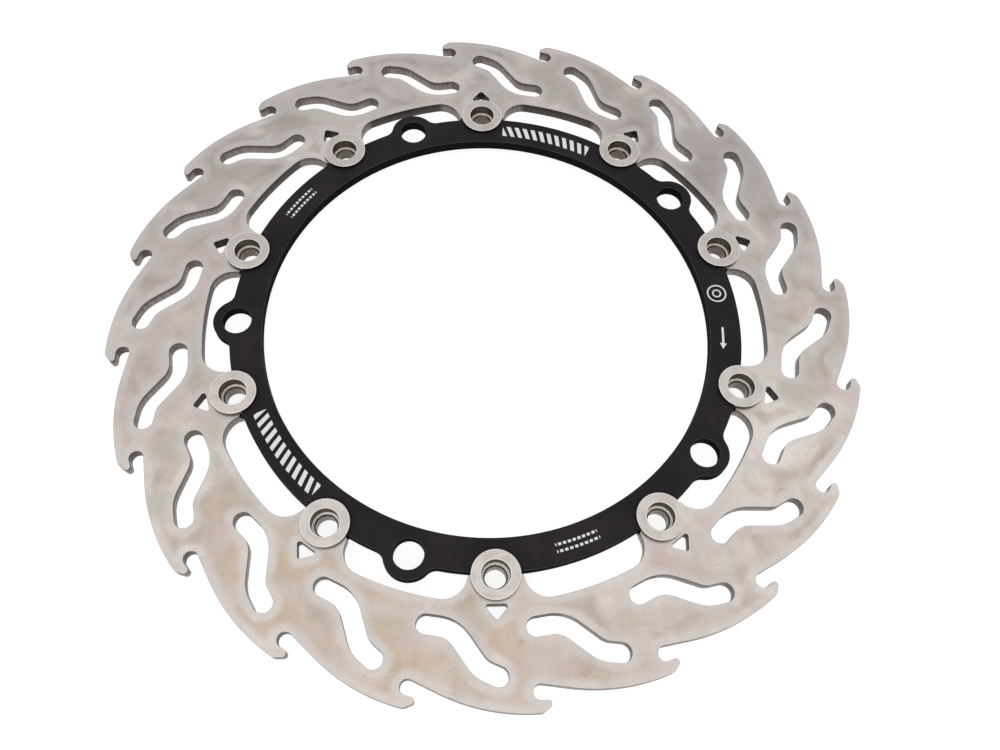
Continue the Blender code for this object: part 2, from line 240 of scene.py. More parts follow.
def ring_outlines():
    """The friction ring: its toothed edge, its inner edge, its slots and its triangular holes."""
    centre = (0.0, 0.0)
    teeth = []
    for index in range(TOOTH_COUNT):
        angle = -index * 360 / TOOTH_COUNT
        back = polar(OUTER_RADIUS - TOOTH_BACK_RADIUS, angle + TOOTH_CREST_ANGLE)
        reach = polar(TOOTH_BACK_RADIUS - NOSE_RADIUS, angle + NOSE_ANGLE)
        tip = polar(OUTER_RADIUS - TIP_DEPTH, angle + TIP_ANGLE)
        pocket = polar(OUTER_RADIUS - POCKET_DEPTH, angle + POCKET_ANGLE)
        nose = (back[0] + reach[0], back[1] + reach[1])
        teeth += [(back, TOOTH_BACK_RADIUS), (nose, NOSE_RADIUS)]
        teeth += [(tip, TIP_RADIUS), (pocket, -POCKET_RADIUS)]
    corner_circle = WINDOW_RADIUS - WINDOW_CORNER
    corner_angle = math.degrees(math.asin((LUG_HALF_WIDTH + WINDOW_CORNER) / corner_circle))
    inner = []
    for index in range(BOBBIN_COUNT):
        angle = -index * 360 / BOBBIN_COUNT
        notch = polar(BOBBIN_CIRCLE, angle)
        flanks = []
        for side in (1, -1):
            lug = beside(LUG_END_RADIUS + LUG_CORNER, side * (LUG_HALF_WIDTH - LUG_CORNER), angle)
            edge = touching(notch, NOTCH_RADIUS + NOTCH_CORNER, centre, LUG_END_RADIUS + NOTCH_CORNER, side)
            window = polar(corner_circle, angle + side * corner_angle)
            flanks.append([(window, WINDOW_CORNER), (lug, -LUG_CORNER), (edge, -NOTCH_CORNER)])
        inner += [(centre, WINDOW_RADIUS), *flanks[0], (notch, NOTCH_RADIUS), *reversed(flanks[1])]
    outlines = [wrap(teeth), wrap(inner)[::-1]]
    for index in range(TOOTH_COUNT):
        outlines.append(s_slot(index * 360 / TOOTH_COUNT)[::-1])
    for index in range(BOBBIN_COUNT):
        angle = index * 360 / BOBBIN_COUNT
        base = BOBBIN_CIRCLE + TRIANGLE_RISE
        corners = [(base + TRIANGLE_HEIGHT, 0.0), (base, -TRIANGLE_HALF_WIDTH), (base, TRIANGLE_HALF_WIDTH)]
        outlines.append(wrap([(beside(*corner, angle), TRIANGLE_CORNER) for corner in corners])[::-1])
    return outlines


def s_slot(angle):
    """One slot: its sides lie half a width from a line that bends right, then left."""
    half = SLOT_WIDTH / 2
    outer_end, outer_bend, inner_bend, inner_end = [
        polar(OUTER_RADIUS - depth, angle + swing)
        for depth, swing in (SLOT_OUTER_END, SLOT_OUTER_BEND, SLOT_INNER_BEND, SLOT_INNER_END)
    ]
    return wrap([
        (outer_end, half),
        (outer_bend, half - SLOT_OUTER_BEND_RADIUS),
        (inner_bend, half + SLOT_INNER_BEND_RADIUS),
        (inner_end, half),
        (inner_bend, half - SLOT_INNER_BEND_RADIUS),
        (outer_bend, half + SLOT_OUTER_BEND_RADIUS),
    ])


def carrier_outlines():
    """The carrier: its edge with notches and ears, its wide centre hole and its bolt holes."""
    centre = (0.0, 0.0)
    ears = [EAR_FIRST_ANGLE + index * 360 / EAR_COUNT for index in range(EAR_COUNT)]
    stations = [(angle, BOLT_CIRCLE_RADIUS, EAR_RADIUS, -EAR_FILLET) for angle in ears]
    stations += [
        (index * 360 / BOBBIN_COUNT, BOBBIN_CIRCLE, -NOTCH_RADIUS, NOTCH_CORNER)
        for index in range(BOBBIN_COUNT)
    ]
    edge = []
    for angle, distance, radius, corner in sorted(stations, reverse=True):
        middle = polar(distance, angle)
        reach = abs(radius) + abs(corner)
        rim = CARRIER_RADIUS - corner
        before = touching(middle, reach, centre, rim, 1)
        after = touching(middle, reach, centre, rim, -1)
        edge += [(centre, CARRIER_RADIUS), (before, corner), (middle, radius), (after, corner)]
    holes = [circle(polar(BOLT_CIRCLE_RADIUS, angle), BOLT_HOLE_RADIUS) for angle in ears]
    return [wrap(edge), circle(centre, CARRIER_RADIUS - CARRIER_BAND), *holes]


def clip_outlines():
    """An open circlip with a drilled eye at each end, its mouth towards +Y."""
    centre = (0.0, 0.0)
    outer = CLIP_INNER + CLIP_WIDTH
    eyes = [polar(outer, side * CLIP_MOUTH_ANGLE / 2) for side in (1, -1)]
    heels = [polar(CLIP_INNER + CLIP_HEEL_RADIUS, side * CLIP_HEEL_ANGLE / 2) for side in (1, -1)]
    edge = wrap([
        (centre, outer),
        (eyes[0], CLIP_EYE_RADIUS),
        (heels[0], CLIP_HEEL_RADIUS),
        (centre, -CLIP_INNER),
        (heels[1], CLIP_HEEL_RADIUS),
        (eyes[1], CLIP_EYE_RADIUS),
    ])
    return [edge, *[circle(eye, CLIP_EYE_HOLE) for eye in eyes]]


# ---- Meshes ---------------------------------------------------------------------------------------

def new_piece(name, points, quads, triangles, **attributes):
    """A mesh object from arrays of points and corner numbers. Quads are shaded smooth, triangles flat."""
    mesh = bpy.data.meshes.new(name)
    corners = np.concatenate([quads.ravel(), triangles.ravel()]).astype(np.int32)
    sizes = np.concatenate([np.full(len(quads), 4), np.full(len(triangles), 3)]).astype(np.int32)
    mesh.vertices.add(len(points))
    mesh.vertices.foreach_set("co", points.astype(np.float32).ravel())
    mesh.loops.add(len(corners))
    mesh.loops.foreach_set("vertex_index", corners)
    mesh.polygons.add(len(sizes))
    mesh.polygons.foreach_set("loop_start", np.concatenate([[0], np.cumsum(sizes)[:-1]]).astype(np.int32))
    mesh.polygons.foreach_set("use_smooth", sizes == 4)
    mesh.update(calc_edges=True)
    for label, values in attributes.items():
        kind, field = ("FLOAT_VECTOR", "vector") if values.ndim == 2 else ("FLOAT", "value")
        mesh.attributes.new(label, kind, "POINT").data.foreach_set(field, values.astype(np.float32).ravel())
    mesh.validate()
    piece = bpy.data.objects.new(name, mesh)
    bpy.context.scene.collection.objects.link(piece)
    return piece


def grid_quads(rows, columns, first=0, close_rows=False):
    """Corner numbers of a grid whose columns close on themselves, and whose rows may."""
    row = np.arange(rows if close_rows else rows - 1)[:, None]
    column = np.arange(columns)[None, :]
    below, beyond = (row + 1) % rows, (column + 1) % columns
    corners = [
        row * columns + column, row * columns + beyond,
        below * columns + beyond, below * columns + column,
    ]
    return first + np.stack(corners, -1).reshape(-1, 4)


def nearest_distance(points, others):
    """The distance from each point to the nearest of others."""
    found = []
    for part in np.array_split(points, max(1, len(points) // POINTS_AT_ONCE)):
        squares = (part**2).sum(1)[:, None] + (others**2).sum(1)[None] - 2 * part @ others.T
        found.append(np.sqrt(np.maximum(squares.min(1), 0.0)))
    return np.concatenate(found)


def inside(points, outlines):
    """Which points lie in the plate: a ray from them towards +X crosses an odd number of sides."""
    start = np.concatenate(outlines)
    end = np.concatenate([np.roll(outline, -1, axis=0) for outline in outlines])
    slope = (end[:, 0] - start[:, 0]) / np.where(end[:, 1] == start[:, 1], 1.0, end[:, 1] - start[:, 1])
    found = []
    for part in np.array_split(points, max(1, len(points) // POINTS_AT_ONCE)):
        x, y = part[:, :1], part[:, 1:]
        spans = (start[:, 1] > y) != (end[:, 1] > y)
        crossing = x < start[:, 0] + (y - start[:, 1]) * slope
        found.append(((spans & crossing).sum(1) % 2) == 1)
    return np.concatenate(found)


def fill(outlines, grid):
    """Triangles of the flat face between outlines, with a triangular grid of points inside it."""
    rim = np.concatenate(outlines)
    points = rim
    if grid:
        reach = np.abs(rim).max()
        rows = np.arange(-reach, reach, grid * math.sqrt(3) / 2)
        x, y = np.meshgrid(np.arange(-reach, reach, grid), rows)
        x = x + grid / 2 * (np.arange(len(rows)) % 2)[:, None]
        lattice = np.stack([x.ravel(), y.ravel()], 1)
        distance = np.linalg.norm(lattice, axis=1)
        rim_distance = np.linalg.norm(rim, axis=1)
        lattice = lattice[(distance < rim_distance.max()) & (distance > rim_distance.min())]
        lattice = lattice[nearest_distance(lattice, rim) > GRID_CLEARANCE * grid]
        lattice = lattice[inside(lattice, outlines)]
        points = np.concatenate([rim, lattice])
    counts = np.cumsum([0] + [len(outline) for outline in outlines])
    edges = np.concatenate([
        np.stack([np.arange(a, b), a + (np.arange(b - a) + 1) % (b - a)], 1)
        for a, b in zip(counts[:-1], counts[1:])
    ])
    made = delaunay_2d_cdt((points / MM).tolist(), edges.tolist(), [], 1, 1e-5)
    source = np.array([names[0] for names in made[3]])
    triangles = source[np.array(made[2])]
    on_rim = (triangles < len(rim)).all(1)
    keep = ~on_rim
    keep[on_rim] = inside(points[triangles[on_rim]].mean(1), outlines)
    triangles = triangles[keep]
    a, b, c = (points[triangles[:, corner]] for corner in range(3))
    area = (b[:, 0] - a[:, 0]) * (c[:, 1] - a[:, 1]) - (b[:, 1] - a[:, 1]) * (c[:, 0] - a[:, 0])
    triangles[area < 0] = triangles[area < 0][:, ::-1]
    return points, triangles


def plate(name, outlines, bottom, top, broken, grid=0.0, angle=None):
    """A flat plate with broken edges.

    Outlines keep the material on their left. Each wall is the outline moved into the material by
    broken * (1 - sin t) and dropped from the face by broken * (1 - cos t), for t from 0 to 90 degrees,
    and the same upwards from the other face. The faces are filled between the walls' first rows.
    cut_wall is 0 on the faces and 1 on the walls. edge_distance is how far a point is from an edge.
    hollow is how tightly the wall bends round what is in front of it: 1 in a narrow pocket.
    """
    quarter = np.append(np.linspace(0, math.pi / 2, BREAK_STEPS + 1), math.pi / 2)
    drop = broken * (1 - np.cos(quarter))
    drop[-1] += SUPPORT
    inset = broken * np.concatenate([1 - np.sin(quarter), (1 - np.sin(quarter))[::-1]])
    height = np.concatenate([top - drop, (bottom + drop)[::-1]])
    shade = np.sin(np.concatenate([quarter, quarter[::-1]]))
    points, quads, shades, hollows, rims = [], [], [], [], []
    first = 0
    for outline in outlines:
        ahead = np.roll(outline, -1, axis=0) - outline
        length = np.linalg.norm(ahead, axis=1)
        ahead /= length[:, None]
        behind = np.roll(ahead, 1, axis=0)
        turn = behind[:, 0] * ahead[:, 1] - behind[:, 1] * ahead[:, 0]
        bend = -turn / (length + np.roll(length, 1)) * 2 * POCKET_REACH
        bend = sum(np.roll(bend, shift) for shift in range(-2, 3)) / 5
        hollows.append(np.tile(np.clip(bend, 0, 1), len(inset)))
        mean = ahead + behind
        mean /= (mean**2).sum(1)[:, None] / 2
        inwards = np.stack([-mean[:, 1], mean[:, 0]], 1)
        wall = outline[None] + inset[:, None, None] * inwards[None]
        rows, columns = len(inset), len(outline)
        flat = np.concatenate([wall, np.broadcast_to(height[:, None, None], (rows, columns, 1))], 2)
        points.append(flat.reshape(-1, 3))
        quads.append(grid_quads(rows, columns, first)[:, ::-1])
        shades.append(np.repeat(shade, columns))
        rims.append((wall[0], first, first + (rows - 1) * columns, columns))
        first += rows * columns
    filled, triangles = fill([rim[0] for rim in rims], grid)
    rim_count = sum(rim[3] for rim in rims)
    lattice = filled[rim_count:]
    distance = nearest_distance(lattice, filled[:rim_count]) if len(lattice) else np.zeros(0)
    faces = []
    for level, which, flip in ((top, 1, False), (bottom, 2, True)):
        numbers = np.concatenate([rim[which] + np.arange(rim[3]) for rim in rims])
        numbers = np.concatenate([numbers, first + np.arange(len(lattice))])
        points.append(np.column_stack([lattice, np.full(len(lattice), level)]))
        first += len(lattice)
        face = numbers[triangles]
        faces.append(face[:, ::-1] if flip else face)
    inner = np.zeros(2 * len(lattice))
    shades = np.concatenate([*shades, inner])
    edge_distance = np.concatenate([np.zeros(len(shades) - len(inner)), distance, distance])
    points = np.concatenate(points)
    return new_piece(
        name, points if angle is None else place_at(points, angle),
        np.concatenate(quads), np.concatenate(faces),
        cut_wall=shades, edge_distance=edge_distance / MM, hollow=np.concatenate([*hollows, inner]),
    )


def rounded(corners, radii, steps=4):
    """A closed profile whose corners are arcs of the given radii, tangent to the sides beside them.

    A point just outside each end of an arc keeps the shading of the straight side flat.
    """
    corners = np.array(corners)
    radii = np.broadcast_to(np.array(radii, float), len(corners))[:, None]
    back = np.roll(corners, 1, axis=0) - corners
    ahead = np.roll(corners, -1, axis=0) - corners
    reach = np.minimum(np.linalg.norm(back, axis=1), np.linalg.norm(ahead, axis=1))[:, None]
    back /= np.linalg.norm(back, axis=1)[:, None]
    ahead /= np.linalg.norm(ahead, axis=1)[:, None]
    half = np.arccos(np.clip((back * ahead).sum(1), -1, 1))[:, None] / 2
    radii = np.minimum(radii, 0.45 * reach * np.tan(half))
    bisector = back + ahead
    bisector /= np.linalg.norm(bisector, axis=1)[:, None]
    centre = corners + bisector * radii / np.sin(half)
    spokes = [corners + side * radii / np.tan(half) - centre for side in (back, ahead)]
    sweep = (math.pi - 2 * half)[:, None]
    share = np.linspace(0, 1, steps + 1)[None, :, None]
    weights = [np.sin((1 - share) * sweep), np.sin(share * sweep)]
    swung = (weights[0] * spokes[0][:, None] + weights[1] * spokes[1][:, None]) / np.sin(sweep)
    arcs = centre[:, None] + swung
    length = np.linalg.norm(np.roll(arcs[:, 0], -1, axis=0) - arcs[:, -1], axis=1)[:, None]
    support = np.minimum(0.3 * length, SUPPORT / 3)
    before = arcs[:, 0] + back * np.roll(support, 1, axis=0)
    after = arcs[:, -1] + ahead * support
    return np.concatenate([before[:, None], arcs, after[:, None]], 1).reshape(-1, 2)


def place_at(local, angle):
    """Points given round a bobbin's own axis, moved to the bobbin at an angle of the disc."""
    turn = math.radians(angle)
    x, y = local[:, 0], local[:, 1]
    centre = polar(BOBBIN_CIRCLE, angle)
    return np.column_stack([
        centre[0] + x * math.cos(turn) + y * math.sin(turn),
        centre[1] - x * math.sin(turn) + y * math.cos(turn),
        local[:, 2],
    ])


def turned(name, profile, angle, lift=None):
    """A profile of (radius, height) turned round a bobbin's axis: (r cos t, r sin t, z + lift(t)).

    own_place holds each point's place round the piece's own axis, for patterns that follow the turning.
    """
    turn = math.tau * np.arange(TURNED_SEGMENTS) / TURNED_SEGMENTS
    radius, height = profile[:, :1], profile[:, 1:]
    rise = lift(turn) if lift else np.zeros_like(turn)
    local = np.stack([radius * np.cos(turn), radius * np.sin(turn), height + rise], -1).reshape(-1, 3)
    quads = grid_quads(len(profile), TURNED_SEGMENTS, close_rows=True)
    return new_piece(name, place_at(local, angle), quads, NO_TRIANGLES, own_place=local / MM)


# ---- Shader maths ---------------------------------------------------------------------------------

class Wire:
    """A shader socket that arithmetic works on: each operator adds its Math node."""

    def __init__(self, finish, socket):
        self.finish = finish
        self.socket = socket

    def math(self, operation, *others):
        return self.finish.node("ShaderNodeMath", {"operation": operation}, [self, *others])

    def __add__(self, other):
        return self.math("ADD", other)

    def __sub__(self, other):
        return self.math("SUBTRACT", other)

    def __rsub__(self, other):
        return self.finish.node("ShaderNodeMath", {"operation": "SUBTRACT"}, [other, self])

    def __mul__(self, other):
        return self.math("MULTIPLY", other)

    def __mod__(self, other):
        return self.math("FLOORED_MODULO", other)

    __radd__ = __add__
    __rmul__ = __mul__

    def absolute(self):
        return self.math("ABSOLUTE")

    def most(self, other):
        return self.math("MAXIMUM", other)

    def ramp(self, start, end, low=0.0, high=1.0):
        """low before start, high after end, and an S-shaped slope between them."""
        return self.finish.node(
            "ShaderNodeMapRange", {"interpolation_type": "SMOOTHSTEP"}, [self, start, end, low, high]
        )

    def between(self, low, high, soft):
        """1 between two values and 0 outside them, with soft sides."""
        return self.ramp(low - soft, low + soft) * self.ramp(high - soft, high + soft, 1.0, 0.0)

    def within(self, half, soft):
        """1 nearer to zero than half, on either side of it, and 0 farther out, with soft sides."""
        return self.absolute().between(-1, half, soft)


def span(x, y):
    """The length of a vector whose parts are x and y."""
    return (x * x + y * y).math("SQRT")


class Finish:
    """One material, which starts as a plain shader with the given constants."""

    def __init__(self, name, **constants):
        self.material = bpy.data.materials.new(name)
        self.material.use_nodes = True
        self.tree = self.material.node_tree
        self.shader = self.tree.nodes["Principled BSDF"]
        for label, value in constants.items():
            self.shader.inputs[label.replace("_", " ")].default_value = value
        coordinates = self.node("ShaderNodeTexCoord", output="Object")
        self.place = self.vector("SCALE", coordinates, Scale=1 / MM)

    def node(self, kind, settings=None, sockets=(), output=0):
        """Any node: its type, its settings, the values or wires of its sockets, and which output to use."""
        made = self.tree.nodes.new(kind)
        for label, value in (settings or {}).items():
            setattr(made, label, value)
        for key, value in sockets.items() if isinstance(sockets, dict) else enumerate(sockets):
            if isinstance(value, Wire):
                self.tree.links.new(value.socket, made.inputs[key])
            else:
                made.inputs[key].default_value = value
        return Wire(self, made.outputs[output])

    def vector(self, operation, *vectors, output=0, **sockets):
        sockets = {**dict(enumerate(vectors)), **sockets}
        return self.node("ShaderNodeVectorMath", {"operation": operation}, sockets, output)

    def parts(self, vector):
        """The x, y and z of a vector."""
        split = self.node("ShaderNodeSeparateXYZ", sockets=[vector]).socket.node
        return [Wire(self, output) for output in split.outputs]

    def attribute(self, label, output="Fac"):
        return self.node("ShaderNodeAttribute", {"attribute_name": label}, output=output)

    def noise(self, place, per_mm, detail=2.0, roughness=0.5, distortion=0.0):
        sockets = {
            "Vector": place, "Scale": per_mm, "Detail": detail,
            "Roughness": roughness, "Distortion": distortion,
        }
        return self.node("ShaderNodeTexNoise", sockets=sockets)

    def turning_rings(self, radius, height, per_mm, detail, roughness):
        """The fine rings that turning leaves: noise that is the same all round the axis."""
        section = self.node("ShaderNodeCombineXYZ", sockets=[radius, height, 0.0])
        sockets = {"Vector": section, "Scale": per_mm, "Detail": detail, "Roughness": roughness}
        return self.node("ShaderNodeTexNoise", {"noise_dimensions": "2D"}, sockets)

    def mix(self, share, first, second):
        """A colour between two: the first where share is 0, the second where it is 1."""
        sockets = {0: share, 6: first, 7: second}
        return self.node("ShaderNodeMix", {"data_type": "RGBA"}, sockets, output=2)

    def layered(self, color, layers):
        """A colour with others laid over it in turn, each given as (its share, its colour)."""
        for share, layer in layers:
            color = self.mix(share, color, layer)
        return color

    def paint(self, label, wire):
        self.tree.links.new(wire.socket, self.shader.inputs[label])

    def bump(self, height, depth, strength):
        """Raises the surface by height times depth, in metres."""
        sockets = {"Strength": strength, "Distance": depth, "Height": height}
        self.paint("Normal", self.node("ShaderNodeBump", sockets=sockets))


def tone(red, green, blue):
    """A linear colour from screen values of 0 to 255."""
    shares = np.array([red, green, blue]) / 255
    linear = np.where(shares <= 0.04045, shares / 12.92, ((shares + 0.055) / 1.055) ** 2.4)
    return (*linear.tolist(), 1.0)


# ---- Finishes -------------------------------------------------------------------------------------

def ring_steel():
    """Ground stainless steel: soft heat stains in its wide lands, paler by its edges, dull on its cuts,
    with painted light and shade on its face and its cut walls.
    """
    steel = Finish("ring_steel", Metallic=1.0)
    x, y, z = steel.parts(steel.place)
    top = RING_HIGH.z / MM
    # Painted light: how far towards the near side a point is, where the face is made brighter.
    near_light = y.ramp(150, -150)
    edge = steel.attribute("edge_distance")
    wander = steel.noise(steel.place, 0.16, 2.0)

    def lit(far, near):
        """Painted light: a colour that goes from a duller tone on the disc's far side to a brighter one on
        its near side.
        """
        return steel.mix(near_light, tone(*far), tone(*near))

    def patch(shift, per_mm, start, end, strength, detail=3.0, distortion=0.8):
        """Soft-edged islands of noise; shift moves them to their own places."""
        moved = steel.vector("ADD", steel.place, (shift, -0.7 * shift, 0.0))
        return steel.noise(moved, per_mm, detail, 0.5, distortion).ramp(start, end, 0.0, strength)

    def pool(angle, distance, reach, strength):
        """A round pool that fades from a point of the ring, for where stains gather and for painted light
        and shade.
        """
        offset = steel.vector("SUBTRACT", steel.place, (*polar(distance, angle), top))
        return steel.vector("LENGTH", offset, output="Value").ramp(0, reach, strength, 0.0)

    lands = (edge + wander * 2.0).ramp(2.6, 5.4)
    # Where the tan stains gather: real stains, made strongest round the near side as painted light.
    stains_and_near_light = pool(200, 130, 130, 0.8) + pool(25, 125, 45, 0.4) + 0.25
    uneven = patch(130, 0.045, 0.35, 0.68, 0.7, 2.0, 1.0) + 0.3
    halo = (edge + wander * 3.0).ramp(1.4, 5.0, 1.0, 0.0)
    grain = steel.noise(steel.place, 2.2, 4.0, 0.7)
    squeezed = steel.vector("MULTIPLY", steel.place, (1.0, 1.6, 1.0))
    smudge = steel.noise(squeezed, 0.22, 4.0, 0.6, 1.5)
    cells = steel.node("ShaderNodeTexVoronoi", sockets={"Vector": steel.place, "Scale": 0.11})
    chance = steel.parts(Wire(steel, cells.socket.node.outputs["Color"]))[0]
    pits = cells.ramp(0.02, 0.045, 1.0, 0.0) * chance.ramp(0.75, 0.8)
    face = steel.layered(lit((192, 187, 186), (210, 201, 194)), [
        # Painted light and shade: two darker, cool pools and one bright pool at set places on the ground
        # face; then random pale, pink and grey-green patches.
        (pool(50, 130, 85, 0.7), tone(166, 160, 163)),
        (pool(302, 150, 58, 0.35), tone(166, 161, 158)),
        (pool(116, 134, 58, 0.95), tone(236, 229, 222)),
        (patch(470, 0.035, 0.44, 0.7, 0.95), tone(226, 218, 212)),
        (patch(310, 0.05, 0.45, 0.72, 0.7), tone(198, 180, 180)),
        (patch(-240, 0.05, 0.45, 0.72, 0.6), tone(178, 176, 164)),
        # Tan and brown stains in the lands, the tan ones strongest round the near side as painted light,
        # and pale steel beside the edges.
        (uneven * lands * stains_and_near_light, lit((172, 156, 143), (199, 175, 154))),
        (patch(-90, 0.045, 0.44, 0.76, 0.7, 2.0, 1.2) * lands, lit((152, 144, 141), (178, 160, 147))),
        (halo * patch(700, 0.04, 0.25, 0.6, 0.7), lit((194, 190, 191), (214, 208, 205))),
        # The grain of the grinding, smudges and a few pits.
        (grain.ramp(0.3, 0.7, 0.0, 0.3), tone(166, 160, 155)),
        (smudge.ramp(0.62, 0.74, 0.0, 0.45), tone(150, 143, 138)),
        (pits * 0.6, tone(88, 80, 74)),
    ])

    wall = steel.attribute("cut_wall")
    hollow = steel.attribute("hollow")
    upright = steel.vector("MULTIPLY", steel.place, (1.0, 1.0, 0.06))
    streaks = steel.noise(upright, 3.2, 3.0, 0.6)
    # Painted shade on the cut walls: darker towards their top edges and in narrow pockets, and nearly black
    # in the triangular holes.
    shade = z.ramp(top, top - 3.4, 0.75, 0.0)
    triangle_base = (BOBBIN_CIRCLE + TRIANGLE_RISE) / MM
    triangle_shade = span(x, y).between(triangle_base - 1.4, triangle_base + 5.2, 0.3)
    streaked = steel.mix(streaks.ramp(0.3, 0.7), tone(110, 102, 97), tone(156, 149, 143))
    cut = steel.layered(streaked, [
        (shade.most(hollow * 0.85), tone(62, 54, 49)),
        (triangle_shade * 0.9, tone(36, 29, 26)),
    ])
    steel.paint("Base Color", steel.mix(wall.ramp(0.1, 0.7), face, cut))
    steel.paint("Roughness", grain.ramp(0.3, 0.7, 0.34, 0.46) + wall * 0.08 - halo * 0.03)
    steel.bump(grain * (1.0 - wall) + streaks * wall * 2.0, 0.004 * MM, 0.6)
    return steel.material


def carrier_black():
    """Black anodised aluminium: satin, with a painted highlight along its broken edges, painted shade on
    its walls, and engraved marks.
    """
    black = Finish("carrier_black", Metallic=0.0, Specular_IOR_Level=0.05)
    x, y, z = black.parts(black.place)
    top = CARRIER_HIGH.z / MM
    cloud = black.noise(black.place, 0.06, detail=3)
    grain = black.noise(black.place, 4.0, detail=3, roughness=0.7)
    wall = black.attribute("cut_wall")
    # Painted highlight: the broken edges paler in patches.
    edge_highlight = wall.between(0.15, 0.8, 0.12) * black.noise(black.place, 0.3).ramp(0.3, 0.6, 0.4, 1.0)
    marks = engraved(x, y) * z.ramp(top - 0.15, top - 0.05) * grain.ramp(0.25, 0.5, 0.75, 1.0)
    color = black.layered(black.mix(cloud.ramp(0.35, 0.65), tone(31, 29, 31), tone(39, 35, 39)), [
        (grain.ramp(0.4, 0.75, 0.0, 0.4), tone(49, 46, 49)),
        (edge_highlight * 0.7, tone(84, 82, 85)),
        # Painted shade: the walls darker still.
        (wall.ramp(0.85, 1.0) * 0.9, tone(12, 11, 12)),
        (marks, tone(216, 215, 217)),
    ])
    black.paint("Base Color", color)
    black.paint("Roughness", (grain.ramp(0.3, 0.7, 0.36, 0.5) + marks * 0.12).most(wall.ramp(0.8, 1.0)))
    black.bump(grain - marks * 1.5, 0.003 * MM, 0.6)
    return black.material


def engraved(x, y):
    """Where the carrier's marks are: an arrow for the wheel's turning, and plain bars, rings and dashes."""
    radius = span(x, y)
    clockwise = x.math("ARCTAN2", y) * math.degrees(1)

    def bent(angle, distance):
        """Places along and across a band that bends with the rim, from a point on it."""
        along = ((clockwise - angle + 540) % 360 - 180) * math.radians(distance)
        return along, radius - distance

    marks = []
    for place in BAR_PLACES:
        along, across = bent(*place)
        bars = ((along + across * BAR_SLANT) % BAR_PITCH).between(0.7, 2.6, 0.06)
        marks.append(bars * along.within(BAR_HALF[0], 0.06) * across.within(BAR_HALF[1], 0.06))
    along, across = bent(*RINGS_PLACE)
    reach = span(along, across)
    marks.append((reach % RINGS_PITCH).between(1.3, 1.9, 0.06) * reach.between(1, 5, 0.06))
    along, across = bent(*ARROW_PLACE)
    marks.append(along.between(-5, 3, 0.05) * across.within(ARROW_HALF_SHAFT, 0.05))
    past_side = across.absolute() + (along - ARROW_POINT) * ARROW_TAPER
    marks.append(along.between(2.4, 9, 0.05) * past_side.between(-9, 0, 0.05))
    for place in DASH_PLACES:
        along, across = bent(*place)
        dashes = (along % DASH_PITCH[0]).between(0.3, 1.5, 0.05)
        rows = ((across + 10) % DASH_PITCH[1]).between(0.9, 1.9, 0.05)
        marks.append(dashes * rows * along.within(DASH_HALF[0], 0.05) * across.within(DASH_HALF[1], 0.05))
    return functools.reduce(Wire.most, marks)


def turned_steel(name, bright, dark, roughness):
    """Steel with the fine rings that turning leaves round each piece's own axis."""
    steel = Finish(name, Metallic=1.0)
    x, y, z = steel.parts(steel.attribute("own_place", "Vector"))
    rings = steel.turning_rings(span(x, y), z * 0.9, 5.5, 3.0, 0.6)
    cloud = steel.noise(steel.place, 0.5, detail=3)
    color = steel.mix(rings.ramp(0.3, 0.7), dark, bright)
    steel.paint("Base Color", steel.mix(cloud.ramp(0.45, 0.75, 0.0, 0.35), color, dark))
    steel.paint("Roughness", rings.ramp(0.3, 0.7, roughness - 0.05, roughness + 0.08))
    steel.bump(rings, 0.006 * MM, 0.7)
    return steel.material


